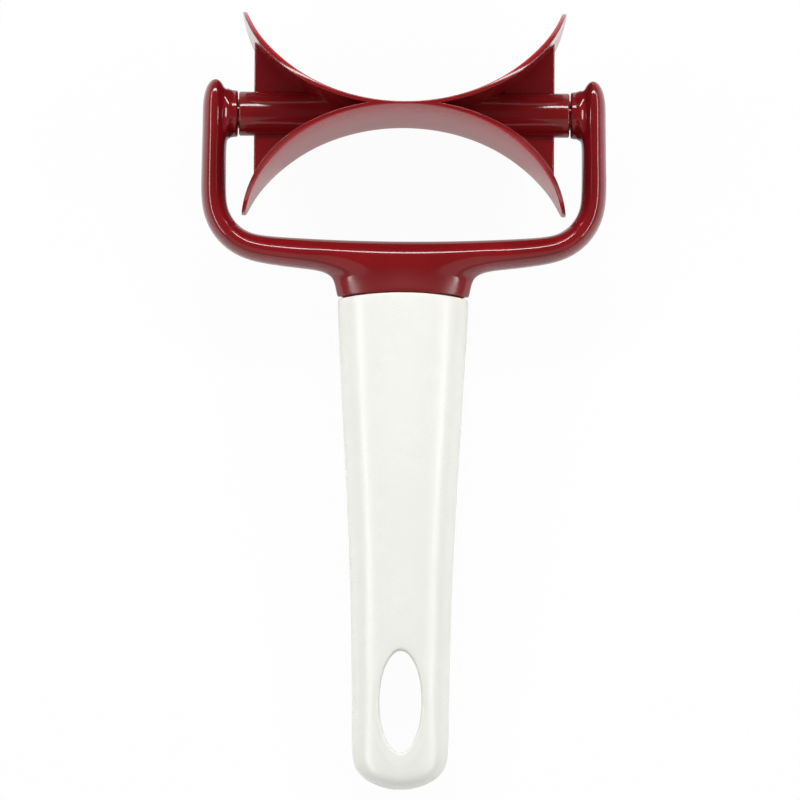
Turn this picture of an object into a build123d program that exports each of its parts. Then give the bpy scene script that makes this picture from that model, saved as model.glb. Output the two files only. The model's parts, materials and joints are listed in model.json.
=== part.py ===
from build123d import *
import os
from math import asin, cos, degrees, hypot, radians, sin

# A hand-held rolling cookie cutter, lying on a worktop.
# Every piece is drawn in the tool's own frame: X along the roller's axle, Y along the handle towards the
# roller, Z out of the tool's flat side, and the origin at the middle of the axle. At the end the whole tool
# is leaned over until the roller and the handle's end both touch the worktop at Z = 0. Millimetres.

# Roller: two cutters back to back, each a trough whose rim lies on one rolling cylinder
ROLL_RADIUS = 25.5
TROUGH_CENTRE = 32.0            # height above the axle of the ellipses that the troughs follow
SHARED_WALL = 2.6               # wall where the troughs meet, at the mould's parting plane
SHARED_WALL_AT_RIM = 0.5        # the same wall out at the cutting rims
BLADE_WALL = 2.45               # blade beside the shared wall, at the parting plane
BLADE_WALL_AT_RIM = 1.0         # the same out at the cutting rims
TROUGH_HALF_WIDTH = 40.0        # inside of a trough at the parting plane
TROUGH_HALF_WIDTH_AT_RIM = 40.7
BLADE_SIDE_WALL = 1.4           # blade thickness at the ends of its ellipse, at the parting plane
BLADE_SIDE_WALL_AT_RIM = 1.8
WEB_HALF_WIDTH = 37.55
WEB_THICKNESS = 2.2
HUB_RADIUS = 5.55
HUB_HALF_LENGTH = 41.3
ROLLER_TURN = -3.9              # degrees about the axle, as the roller happens to stand in the photo

# Pivots: journals pressed into the arms' bosses from inside, running in the hub's ends
PIN_RADIUS = 3.7
PIN_INNER_END = 34.6
PIN_OUTER_END = 48.0
BORE_END = 48.2                 # blind end of the bore for a journal, inside the arm
PIN_CHAMFER = 0.4
RUNNING_CLEARANCE = 0.05        # radial, journal in hub
PRESS_CLEARANCE = 0.01          # radial, journal in boss
SOCKET_FLOOR = 33.6             # where the hub's sockets end

# Yoke: arms, crossbar and bosses
ARM_INNER = 44.5
ARM_OUTER = 50.8
ARM_TIP = 8.35                  # arm's end above the axle
ARM_TIP_ROUND = 5.0             # arm's end seen from the side
FRAME_DEPTH = 14.4
FRAME_EDGE_ROUND = 2.8
BOSS_RADIUS = 5.85
BOSS_FACE = 41.55
BAR_TOP_MIDDLE = -31.85         # crossbar's upper edge, in the middle and in line with the arms
BAR_TOP_END = -29.3
BAR_BOTTOM_MIDDLE = -40.15
BAR_BOTTOM_END = -34.7
INNER_CORNER = 9.5
OUTER_CORNER = 16.5

# Neck: stations from the crossbar to the handle's mouth with half width and half depth of the oval section
NECK_STATIONS = (
    (-34.6, 25.6, 5.2),
    (-38.0, 22.8, 6.5),
    (-40.0, 19.1, 7.1),
    (-42.0, 17.35, 7.5),
    (-44.0, 16.7, 7.85),
    (-48.0, 16.27, 8.6),
)

# Handle sleeve: stations along the handle with half width and half depth of the oval section
SLEEVE_STATIONS = (
    (-42.0, 16.55, 9.4),
    (-75.0, 14.95, 8.95),
    (-105.0, 13.25, 8.5),
    (-135.0, 12.3, 7.95),
    (-160.9, 12.0, 7.0),
)
SLEEVE_END_LENGTH = 8.2         # rounded end beyond the last station
SLEEVE_END_TURNS = (0.0, 22.5, 45.0, 67.5, 85.0)   # degrees round the end where its sections lie
SLEEVE_WALL = 2.4
SLEEVE_CAVITY_END = -128.0
MOUTH_MIDDLE = -44.75           # sleeve's mouth, arched across the handle
MOUTH_ARCH_RADIUS = 86.0
MOUTH_LIP_ROUND = 0.5
HOLE_CENTRE = -146.8
HOLE_HALF_WIDTH = 5.25
HOLE_HALF_LENGTH = 13.0
HOLE_RIM_ROUND = 1.6

# Plug and tang of the yoke inside the sleeve
PLUG_CLEARANCE = 0.1
PLUG_END = -64.0
TANG_END = -112.0
TANG_RIB = 3.0
TANG_WIDTH = 19.0
TANG_DEPTH = 10.4

REACH = 60.0                    # longer than any piece that a cutting shape has to pass through


def oval(y, half_width, half_depth):
    """Oval section across the handle at the distance y along it."""
    return Plane.XZ.offset(-y) * Ellipse(half_width, half_depth)


def sleeve_section(y, inset=0.0):
    """The sleeve's oval section at y, worked out between its stations and drawn in by inset."""
    for (y_near, *near), (y_far, *far) in zip(SLEEVE_STATIONS, SLEEVE_STATIONS[1:]):
        if y_far <= y <= y_near:
            share = (y_near - y) / (y_near - y_far)
            half_width, half_depth = (a + share * (b - a) for a, b in zip(near, far))
            return oval(y, half_width - inset, half_depth - inset)
    raise ValueError("the section lies outside the sleeve")


def mouth_cylinder():
    """Cylinder through the tool's flat side whose top is the arched line of the sleeve's mouth."""
    return Pos(0, MOUTH_MIDDLE - MOUTH_ARCH_RADIUS, 0) * Cylinder(MOUTH_ARCH_RADIUS, REACH)


def along_axle(radius, x_from, x_to):
    """Round bar on the axle's line between two places along it."""
    return Pos((x_from + x_to) / 2, 0, 0) * Rot(0, 90, 0) * Cylinder(radius, abs(x_to - x_from))


def trough(half_width, half_height, half_width_at_rim, half_height_at_rim):
    """Elliptical bar along Z for the upper cutter, drafted from the parting plane to its two ends."""
    sections = []
    for z in (-ROLL_RADIUS, 0.0, ROLL_RADIUS):
        width = half_width if z == 0 else half_width_at_rim
        height = half_height if z == 0 else half_height_at_rim
        sections.append(Pos(0, TROUGH_CENTRE, z) * Ellipse(width, height))
    return loft(sections, ruled=True)


def cutter_roller():
    """Two cutters back to back with the web between them and the hub through them."""
    rise = TROUGH_CENTRE - SHARED_WALL / 2
    rise_at_rim = TROUGH_CENTRE - SHARED_WALL_AT_RIM / 2
    pocket = trough(TROUGH_HALF_WIDTH, rise, TROUGH_HALF_WIDTH_AT_RIM, rise_at_rim)
    outside = trough(
        TROUGH_HALF_WIDTH + BLADE_SIDE_WALL,
        rise + BLADE_WALL,
        TROUGH_HALF_WIDTH_AT_RIM + BLADE_SIDE_WALL_AT_RIM,
        rise_at_rim + BLADE_WALL_AT_RIM,
    )
    rolling_cylinder = along_axle(ROLL_RADIUS, -REACH, REACH)
    blade = (outside & rolling_cylinder) - pocket
    turned_over = Rot(180, 0, 0)
    web = Box(2 * WEB_HALF_WIDTH, 2 * ROLL_RADIUS, WEB_THICKNESS)
    hub = along_axle(HUB_RADIUS, -HUB_HALF_LENGTH, HUB_HALF_LENGTH)
    core = (web + hub) - pocket - turned_over * pocket
    core &= rolling_cylinder
    roller = core + blade + turned_over * blade
    for side in (-1, 1):
        roller -= along_axle(PIN_RADIUS + RUNNING_CLEARANCE, side * SOCKET_FLOOR, side * REACH)
    return Rot(ROLLER_TURN, 0, 0) * roller


def bowed_rectangle(half_width, top, side_end, middle, corner):
    """Flat rectangle whose lower side bows down in the middle and meets the others in round corners."""
    sides = Polyline((half_width, side_end), (half_width, top), (-half_width, top), (-half_width, side_end))
    bow = ThreePointArc((-half_width, side_end), (0, middle), (half_width, side_end))
    face = make_face(sides + bow)
    return fillet(face.vertices().sort_by(Axis.Y)[:2], corner)


def frame_outline():
    """Flat outline of the arms and the crossbar, seen from the tool's flat side."""
    outer = bowed_rectangle(ARM_OUTER, ARM_TIP, BAR_BOTTOM_END, BAR_BOTTOM_MIDDLE, OUTER_CORNER)
    inner = bowed_rectangle(ARM_INNER, REACH, BAR_TOP_END, BAR_TOP_MIDDLE, INNER_CORNER)
    return outer - inner


def frame():
    """Arms and crossbar as a bar of even depth with rounded edges."""
    outline = frame_outline()
    bar = extrude(outline, FRAME_DEPTH / 2, both=True)
    side_view = Plane.YZ * Pos(ARM_TIP - REACH, 0) * RectangleRounded(2 * REACH, FRAME_DEPTH, ARM_TIP_ROUND)
    bar &= extrude(side_view, REACH, both=True)
    outline_edges = outline.edges()
    sharp = []
    for edge in bar.edges():
        middle = edge.position_at(0.5)
        flat_middle = Vector(middle.X, middle.Y, 0)
        upright = abs(edge.tangent_at(0.5).Z) > 0.9
        on_side = min(line.distance_to(flat_middle) for line in outline_edges) < PRESS_CLEARANCE
        if on_side and not upright:
            sharp.append(edge)
    return fillet(sharp, FRAME_EDGE_ROUND)


def yoke():
    """Arms, crossbar, bosses and neck, with the plug and ribbed tang that go into the handle."""
    body = frame()
    body += loft([oval(*station) for station in NECK_STATIONS])
    body -= mouth_cylinder()
    plug_ends = (SLEEVE_STATIONS[0][0], PLUG_END)
    body += loft([sleeve_section(y, SLEEVE_WALL + PLUG_CLEARANCE) for y in plug_ends])
    tang_length = BAR_BOTTOM_MIDDLE - TANG_END
    tang_middle = (BAR_BOTTOM_MIDDLE + TANG_END) / 2
    body += Pos(0, tang_middle, 0) * Box(TANG_WIDTH, tang_length, TANG_RIB)
    body += Pos(0, tang_middle, 0) * Box(TANG_RIB, tang_length, TANG_DEPTH)
    for side in (-1, 1):
        body += along_axle(BOSS_RADIUS, side * BOSS_FACE, side * (ARM_INNER + ARM_OUTER) / 2)
        body -= along_axle(PIN_RADIUS + PRESS_CLEARANCE, side * (BOSS_FACE - 1), side * BORE_END)
    return body


def handle_sleeve():
    """Hollow oval grip with a rounded end, an arched mouth and an oval hanging hole."""
    sleeve = loft([oval(*station) for station in SLEEVE_STATIONS], ruled=True)
    end_y, end_width, end_depth = SLEEVE_STATIONS[-1]
    sleeve += loft([
        oval(end_y - SLEEVE_END_LENGTH * sin(turn), end_width * cos(turn), end_depth * cos(turn))
        for turn in map(radians, SLEEVE_END_TURNS)
    ])
    sleeve &= mouth_cylinder()
    sleeve = fillet(sleeve.faces().sort_by(Axis.Y)[-1].edges(), MOUTH_LIP_ROUND)
    hole = Pos(0, HOLE_CENTRE) * Ellipse(HOLE_HALF_WIDTH, HOLE_HALF_LENGTH)
    sleeve -= extrude(hole, REACH, both=True)
    rim = [
        edge for edge in sleeve.edges()
        if abs(edge.bounding_box().size.X - 2 * HOLE_HALF_WIDTH) < MOUTH_LIP_ROUND
    ]
    sleeve = fillet(rim, HOLE_RIM_ROUND)
    cavity_stations = (SLEEVE_STATIONS[0][0], PLUG_END, SLEEVE_STATIONS[2][0], SLEEVE_CAVITY_END)
    return sleeve - loft([sleeve_section(y, SLEEVE_WALL) for y in cavity_stations])


def pivot_pin(side):
    """Journal from inside the arm through the boss into the hub; side is -1 or 1."""
    pin = along_axle(PIN_RADIUS, side * PIN_INNER_END, side * PIN_OUTER_END)
    return chamfer(pin.edges().filter_by(GeomType.CIRCLE), PIN_CHAMFER)


def lay_down():
    """Place of the tool on the worktop: leaned over, standing on Z = 0, and centred along Y."""
    end_y, _, end_depth = SLEEVE_STATIONS[-1]
    lean = asin((ROLL_RADIUS - end_depth) / -end_y)
    handle_end = end_y * cos(lean) - hypot(SLEEVE_END_LENGTH * cos(lean), end_depth * sin(lean))
    return Pos(0, -(ROLL_RADIUS + handle_end) / 2, ROLL_RADIUS) * Rot(degrees(lean), 0, 0)


PIECES = {
    "handle_sleeve": handle_sleeve(),
    "yoke": yoke(),
    "cutter_roller": cutter_roller(),
    "left_pivot_pin": pivot_pin(-1),
    "right_pivot_pin": pivot_pin(1),
}
os.makedirs("parts", exist_ok=True)
for node, piece in PIECES.items():
    export_step(lay_down() * piece, f"parts/{node}.step")
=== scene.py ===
"""Looks of a hand-held rolling cookie cutter: glossy red and ivory plastic, lying on a pale worktop."""

import json
import logging
import math
from abc import ABC, abstractmethod
from collections.abc import Callable, Iterator, Sequence
from contextlib import contextmanager
from dataclasses import dataclass
from enum import Enum

import bmesh
import bpy
from mathutils import Matrix, Quaternion, Vector


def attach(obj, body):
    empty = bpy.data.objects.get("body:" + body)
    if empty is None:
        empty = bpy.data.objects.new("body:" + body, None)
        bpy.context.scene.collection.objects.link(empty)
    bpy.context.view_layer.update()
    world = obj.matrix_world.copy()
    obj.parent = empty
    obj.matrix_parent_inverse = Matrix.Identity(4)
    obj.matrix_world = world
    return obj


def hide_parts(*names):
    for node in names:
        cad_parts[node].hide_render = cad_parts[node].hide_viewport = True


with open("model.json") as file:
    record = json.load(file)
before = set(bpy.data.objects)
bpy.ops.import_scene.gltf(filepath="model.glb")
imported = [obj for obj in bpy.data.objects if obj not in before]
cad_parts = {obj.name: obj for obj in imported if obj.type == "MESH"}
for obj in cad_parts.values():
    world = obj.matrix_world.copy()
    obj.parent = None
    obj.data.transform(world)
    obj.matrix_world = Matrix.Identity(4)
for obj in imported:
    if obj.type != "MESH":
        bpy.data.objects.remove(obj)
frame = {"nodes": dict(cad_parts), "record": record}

LOG = logging.getLogger("cookie_cutter")
MM = 0.001
# Distance in millimetres, or share of a whole, within which two places count as one.
CLOSE = 0.01
# Rounds in which a place that is worked out from itself settles.
SETTLING_STEPS = 8
# Faces that meet at a smaller angle are shaded as one.
SMOOTH_BELOW = math.radians(35.0)
# Base colours of the plastics, linear, and the red one's refractive index.
RED = (0.24, 0.0075, 0.0105)
DEEP_RED = (0.20, 0.006, 0.008)
HANDLED_RED = (0.18, 0.0055, 0.0075)
# Painted light: the next colour is a lighter red that brightens the insides of the roller's troughs.
PAINTED_GLOW_RED = (0.47, 0.012, 0.020)
IVORY = (0.90, 0.91, 0.86)
DEEP_IVORY = (0.88, 0.89, 0.83)
STYRENE = 1.59


class Part(Enum):
    """What is picked in edit mode."""

    VERTICES = "verts"
    EDGES = "edges"
    FACES = "faces"


class Side(Enum):
    """Side of the tool, as the sign of X there."""

    LEFT = -1
    RIGHT = 1


@dataclass(frozen=True)
class ToolFrame:
    """The tool's own frame: X along the axle, Y along the handle towards the roller, Z out of its flat side.

    Attributes:
        axle: middle of the axle in the row frame, in metres.
        out: direction out of the tool's flat side.
    """

    axle: Vector
    out: Vector

    @classmethod
    def from_record(cls, record: dict) -> "ToolFrame":
        """Reads the frame from the roller's hinge and the hanging hole's axis.

        Args:
            record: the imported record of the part.

        Returns:
            The tool's frame in the row frame.
        """
        hinge = record["behaviour"]["joints"][0]
        hole = record["mounts"][0]
        return cls(Vector(hinge["pos_m"]), Vector(hole["axis"]).normalized())

    def along(self) -> Vector:
        """Direction along the handle towards the roller."""
        return self.out.cross(Vector((1.0, 0.0, 0.0)))

    def matrix(self) -> Matrix:
        """Matrix from the tool's own frame in millimetres to the row frame in metres."""
        across = Vector((1.0, 0.0, 0.0))
        turn = Matrix((across, self.along(), self.out)).transposed().to_4x4()
        return Matrix.Translation(self.axle) @ turn @ Matrix.Scale(MM, 4)


def select_only(piece: bpy.types.Object) -> None:
    """Makes a piece the only selected object and the active one."""
    bpy.ops.object.select_all(action="DESELECT")
    bpy.context.view_layer.objects.active = piece
    piece.select_set(True)


@contextmanager
def editing(piece: bpy.types.Object) -> Iterator[None]:
    """Opens a piece in edit mode with nothing picked, and closes it at the end.

    Args:
        piece: the mesh object to edit.

    Yields:
        Nothing; the piece is in edit mode meanwhile.
    """
    select_only(piece)
    bpy.ops.object.mode_set(mode="EDIT")
    bpy.ops.mesh.select_all(action="DESELECT")
    yield
    bpy.ops.object.mode_set(mode="OBJECT")


def pick(piece: bpy.types.Object, part: Part, test: Callable[..., bool]) -> None:
    """Picks the elements of a piece in edit mode that pass a test, and nothing else.

    Args:
        piece: the mesh object in edit mode.
        part: whether vertices, edges or faces are picked.
        test: tells of one element whether it is picked.
    """
    bpy.ops.mesh.select_all(action="DESELECT")
    bpy.context.tool_settings.mesh_select_mode = [part is kind for kind in Part]
    mesh = bmesh.from_edit_mesh(piece.data)
    for element in getattr(mesh, part.value):
        if test(element):
            element.select_set(True)
    mesh.select_flush_mode()
    bmesh.update_edit_mesh(piece.data)


def lay(piece: bpy.types.Object, rule: Callable[[Vector], Vector]) -> None:
    """Moves each picked vertex of a piece in edit mode to where a rule puts it.

    Args:
        piece: the mesh object in edit mode.
        rule: gives a vertex's new place from its old one.
    """
    mesh = bmesh.from_edit_mesh(piece.data)
    for vertex in mesh.verts:
        if vertex.select:
            vertex.co = rule(vertex.co)
    bmesh.update_edit_mesh(piece.data)


def lay_all(piece: bpy.types.Object, rule: Callable[[Vector], Vector]) -> None:
    """Picks every vertex of a piece in edit mode and moves it to where a rule puts it."""
    bpy.ops.mesh.select_all(action="SELECT")
    lay(piece, rule)


def bow_down(piece: bpy.types.Object, radius: float) -> None:
    """Lowers the picked vertices of a piece in edit mode into a bow that is highest in the middle."""
    lay(piece, lambda place: place - Vector((0.0, place.x ** 2 / (2.0 * radius), 0.0)))


def extrude(x: float = 0.0, y: float = 0.0, z: float = 0.0) -> None:
    """Carries what is picked in edit mode on by a step along each axis."""
    bpy.ops.mesh.extrude_region_move(TRANSFORM_OT_translate={"value": (x, y, z)})


def face_outwards() -> None:
    """Turns all faces of the piece in edit mode outwards."""
    bpy.ops.mesh.select_all(action="SELECT")
    bpy.ops.mesh.normals_make_consistent(inside=False)


def round_edges(
    piece: bpy.types.Object, test: Callable[[bmesh.types.BMEdge], bool], radius: float, steps: int,
) -> None:
    """Rounds edges of a piece in edit mode.

    Args:
        piece: the mesh object in edit mode.
        test: tells of an edge whether it is rounded.
        radius: radius of the rounding.
        steps: faces across the rounding.
    """
    pick(piece, Part.EDGES, test)
    bpy.ops.mesh.bevel(offset=radius, segments=steps, profile=0.5)


def double_grid(columns: int, rows: int) -> bpy.types.Object:
    """Makes a closed flat body of two grids, from -1 to 1 along X and Y, at 0 and at 1 along Z."""
    bpy.ops.mesh.primitive_grid_add(x_subdivisions=columns, y_subdivisions=rows, size=2)
    piece = bpy.context.object
    with editing(piece):
        bpy.ops.mesh.select_all(action="SELECT")
        extrude(z=1.0)
    return piece


def apply_turn() -> None:
    """Makes the active object's turn part of its mesh."""
    bpy.ops.object.transform_apply(location=False, rotation=True, scale=False)


def apply_modifier(piece: bpy.types.Object, kind: str, **settings: object) -> None:
    """Adds a modifier to a piece, sets it and applies it.

    Args:
        piece: the mesh object to change.
        kind: Blender's name of the modifier.
        settings: the modifier's settings by name.
    """
    select_only(piece)
    modifier = piece.modifiers.new(kind.lower(), kind)
    for name, value in settings.items():
        setattr(modifier, name, value)
    bpy.ops.object.modifier_apply(modifier=modifier.name)


def mirror(piece: bpy.types.Object, axis: str) -> None:
    """Adds a piece's mirror image across the tool's middle along an axis, joined where the two meet."""
    apply_modifier(piece, "MIRROR", use_axis=[axis == name for name in "XYZ"], merge_threshold=0.001)


def smooth_out(piece: bpy.types.Object, levels: int) -> None:
    """Subdivides a piece smoothly a number of times."""
    apply_modifier(piece, "SUBSURF", levels=levels, render_levels=levels)


def merge_with(piece: bpy.types.Object, other: bpy.types.Object, operation: str) -> None:
    """Adds another solid to a piece or takes it away, and removes the other.

    Args:
        piece: the mesh object that stays.
        other: the mesh object that is used up.
        operation: UNION or DIFFERENCE.
    """
    apply_modifier(piece, "BOOLEAN", object=other, operation=operation, solver="EXACT")
    bpy.data.objects.remove(other)


def bore_on_axle(piece: bpy.types.Object, side: Side, radius: float, start: float, end: float) -> None:
    """Cuts a round hole on the axle's line into a piece.

    Args:
        piece: the mesh object to cut.
        side: the side of the tool that it is cut on.
        radius: radius of the hole.
        start: its end towards the middle, as a distance from there.
        end: its other end.
    """
    bpy.ops.mesh.primitive_cylinder_add(
        vertices=64,
        radius=radius,
        depth=end - start,
        location=(side.value * (start + end) / 2.0, 0.0, 0.0),
        rotation=(0.0, math.pi / 2.0, 0.0),
    )
    merge_with(piece, bpy.context.object, "DIFFERENCE")


def blend_share(value: float, low: float, high: float) -> float:
    """Share from 0 to 1 of the way from low to high, with a soft start and end."""
    share = min(max((value - low) / (high - low), 0.0), 1.0)
    return share * share * (3.0 - 2.0 * share)


class NodeSketch:
    """Adds nodes to a node tree and links them."""

    def __init__(self, tree: bpy.types.NodeTree) -> None:
        """Starts on a tree."""
        self.tree = tree

    def add(
        self, kind: str, inputs: dict[str | int, object] | None = None, **settings: object,
    ) -> bpy.types.Node:
        """Adds a node.

        Args:
            kind: Blender's name of the node.
            inputs: for each input, by name or number, a socket to link it to or a value to set.
            settings: the node's settings by name.

        Returns:
            The new node.
        """
        node = self.tree.nodes.new(kind)
        for name, value in settings.items():
            setattr(node, name, value)
        for key, value in (inputs or {}).items():
            if isinstance(value, bpy.types.NodeSocket):
                self.tree.links.new(value, node.inputs[key])
            else:
                node.inputs[key].default_value = value
        return node

    def place(self) -> bpy.types.NodeSocket:
        """Place on the piece, in metres in the row frame."""
        return self.add("ShaderNodeTexCoord").outputs["Object"]

    def noise(self, grain: float, detail: float) -> bpy.types.NodeSocket:
        """Noise with grains of a size in metres, about 0.5 on average."""
        inputs = {"Vector": self.place(), "Scale": 1.0 / grain, "Detail": detail}
        return self.add("ShaderNodeTexNoise", inputs).outputs["Fac"]

    def math(self, operation: str, *values: object) -> bpy.types.NodeSocket:
        """Result of a math node on sockets and numbers."""
        return self.add("ShaderNodeMath", dict(enumerate(values)), operation=operation).outputs[0]

    def vector_math(self, operation: str, *values: object) -> bpy.types.Node:
        """A vector math node on sockets and vectors."""
        return self.add("ShaderNodeVectorMath", dict(enumerate(values)), operation=operation)

    def spread(self, value: bpy.types.NodeSocket, source: tuple, target: tuple) -> bpy.types.NodeSocket:
        """Value carried softly from one range to another.

        Args:
            value: the value to carry.
            source: where the range starts and ends.
            target: what start and end become, as numbers or sockets.

        Returns:
            The carried value.
        """
        inputs = {
            "Value": value,
            "From Min": source[0],
            "From Max": source[1],
            "To Min": target[0],
            "To Max": target[1],
        }
        return self.add("ShaderNodeMapRange", inputs, interpolation_type="SMOOTHSTEP").outputs["Result"]

    def blend_colours(
        self, share: bpy.types.NodeSocket, first: object, second: object,
    ) -> bpy.types.NodeSocket:
        """Colour between two others, as sockets or values, by a share."""
        mix = self.add("ShaderNodeMix", data_type="RGBA")
        named = {socket.identifier: socket for socket in mix.inputs}
        self.tree.links.new(share, named["Factor_Float"])
        for identifier, colour in (("A_Color", first), ("B_Color", second)):
            if isinstance(colour, bpy.types.NodeSocket):
                self.tree.links.new(colour, named[identifier])
            else:
                named[identifier].default_value = (*colour, 1.0)
        return next(socket for socket in mix.outputs if socket.identifier == "Result_Color")


class PlasticEffects:
    """Shared node groups of moulded plastic, each made once.

    Attributes:
        skin: the moulded skin: broad change of shade, change of gloss, and fine ripple.
        patch: the patch shared by wear and painted light, whose mask is made ragged.
    """

    def __init__(self) -> None:
        """Makes the groups."""
        self.skin = self.make_skin()
        self.patch = self.make_patch()

    def start(self, name: str, inputs: dict[str, float], outputs: tuple[str, ...]) -> bpy.types.NodeTree:
        """Starts a node group with number sockets.

        Args:
            name: name of the group.
            inputs: its inputs with their default values.
            outputs: its outputs.

        Returns:
            The group, still without nodes.
        """
        group = bpy.data.node_groups.new(name, "ShaderNodeTree")
        for label, value in inputs.items():
            socket = group.interface.new_socket(label, in_out="INPUT", socket_type="NodeSocketFloat")
            socket.default_value = value
        for label in outputs:
            group.interface.new_socket(label, in_out="OUTPUT", socket_type="NodeSocketFloat")
        return group

    def make_skin(self) -> bpy.types.NodeTree:
        """Makes the moulded skin: flow marks, fine orange peel and specks."""
        inputs = {"Glossiest": 0.15, "Dullest": 0.25}
        group = self.start("moulded_skin", inputs, ("Shade", "Roughness", "Height"))
        sketch = NodeSketch(group)
        given = sketch.add("NodeGroupInput").outputs
        flow = sketch.noise(grain=16.0 * MM, detail=2.0)
        peel = sketch.noise(grain=1.3 * MM, detail=1.0)
        specks = sketch.noise(grain=0.25 * MM, detail=2.0)
        flow_range = (0.32, 0.68)
        gloss_range = (0.38, 0.62)
        speck_share = 0.35
        shade = sketch.spread(flow, flow_range, (0.0, 1.0))
        flow_part = sketch.math("MULTIPLY", flow, 1.0 - speck_share)
        gloss = sketch.math("MULTIPLY_ADD", specks, speck_share, flow_part)
        roughness = sketch.spread(gloss, gloss_range, (given["Glossiest"], given["Dullest"]))
        sketch.add("NodeGroupOutput", {"Shade": shade, "Roughness": roughness, "Height": peel})
        return group

    def make_patch(self) -> bpy.types.NodeTree:
        """Makes the patch shared by wear and painted light: its mask broken up by noise."""
        group = self.start("wear_and_glow_patch", {"Mask": 0.0, "Raggedness": 0.5}, ("Mask",))
        sketch = NodeSketch(group)
        given = sketch.add("NodeGroupInput")
        scuffs = sketch.math("SUBTRACT", sketch.noise(grain=0.9 * MM, detail=3.0), 0.5)
        broken = sketch.math("MULTIPLY_ADD", scuffs, given.outputs["Raggedness"], given.outputs["Mask"])
        sketch.add("NodeGroupOutput", {"Mask": sketch.spread(broken, (0.0, 1.0), (0.0, 1.0))})
        return group


@dataclass(frozen=True)
class WearAndGlow(ABC):
    """Changed plastic on a piece: real wear round a spot, and painted light in the roller's troughs.

    Attributes:
        colour: base colour there, linear: that of worn plastic, and the painted light's lighter red in the
            troughs.
        roughness: roughness there.
        raggedness: how much the patch is broken up.
    """

    colour: tuple[float, float, float]
    roughness: float
    raggedness: float

    @abstractmethod
    def reach(self, sketch: NodeSketch) -> bpy.types.NodeSocket:
        """Value from 0 where the plastic is unchanged to 1 where the change is full, without any raggedness.
        """

    def mask(self, sketch: NodeSketch, effects: PlasticEffects) -> bpy.types.NodeSocket:
        """Mask of the change.

        Args:
            sketch: the material's nodes.
            effects: the shared node groups.

        Returns:
            The mask, 1 where the change is full.
        """
        inputs = {"Mask": self.reach(sketch), "Raggedness": self.raggedness}
        return sketch.add("ShaderNodeGroup", inputs, node_tree=effects.patch).outputs["Mask"]


@dataclass(frozen=True)
class SpotWear(WearAndGlow):
    """Wear round some place.

    Attributes:
        spot: the place, in metres in the row frame.
        follows: how much each axis counts in the distance from the place.
        near: distance at which the wear is full.
        far: distance at which it has faded out.
    """

    spot: Vector
    follows: tuple[float, float, float]
    near: float
    far: float

    def reach(self, sketch: NodeSketch) -> bpy.types.NodeSocket:
        """Value that falls from 1 to 0 with the distance from the place."""
        offset = sketch.vector_math("SUBTRACT", sketch.place(), self.spot)
        across = sketch.vector_math("MULTIPLY", offset.outputs["Vector"], self.follows)
        distance = sketch.vector_math("LENGTH", across.outputs["Vector"]).outputs["Value"]
        return sketch.spread(distance, (self.near, self.far), (1.0, 0.0))


@dataclass(frozen=True)
class TroughPaintedGlow(WearAndGlow):
    """Painted light inside the roller's troughs: a lighter red on the blades' dough side, with a duller
    gloss there.

    Attributes:
        axle: middle of the axle, in metres in the row frame.
        outward: direction from the axle into one of the troughs.
        centre: height above the axle of the ellipse that divides a blade's wall in two.
        half_width: semi-axis of that ellipse along the axle.
        half_height: its semi-axis across the axle.
        fade: depth over which the painted light sets in.
    """

    axle: Vector
    outward: Vector
    centre: float
    half_width: float
    half_height: float
    fade: float

    def reach(self, sketch: NodeSketch) -> bpy.types.NodeSocket:
        """Value that rises from 0 to 1 from the middle of a blade's wall towards the dough."""
        offset = sketch.vector_math("SUBTRACT", sketch.place(), self.axle).outputs["Vector"]
        height = sketch.vector_math("DOT_PRODUCT", offset, self.outward).outputs["Value"]
        x = sketch.add("ShaderNodeSeparateXYZ", {0: offset}).outputs["X"]
        sideways = sketch.math("DIVIDE", x, self.half_width)
        rest = sketch.math("MULTIPLY_ADD", sideways, sketch.math("MULTIPLY", sideways, -1.0), 1.0)
        bow = sketch.math("SQRT", sketch.math("MAXIMUM", rest, 0.0))
        wall = sketch.math("MULTIPLY_ADD", bow, -self.half_height, self.centre)
        beyond = sketch.math("SUBTRACT", sketch.math("ABSOLUTE", height), wall)
        return sketch.spread(beyond, (0.0, self.fade), (0.0, 1.0))


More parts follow.
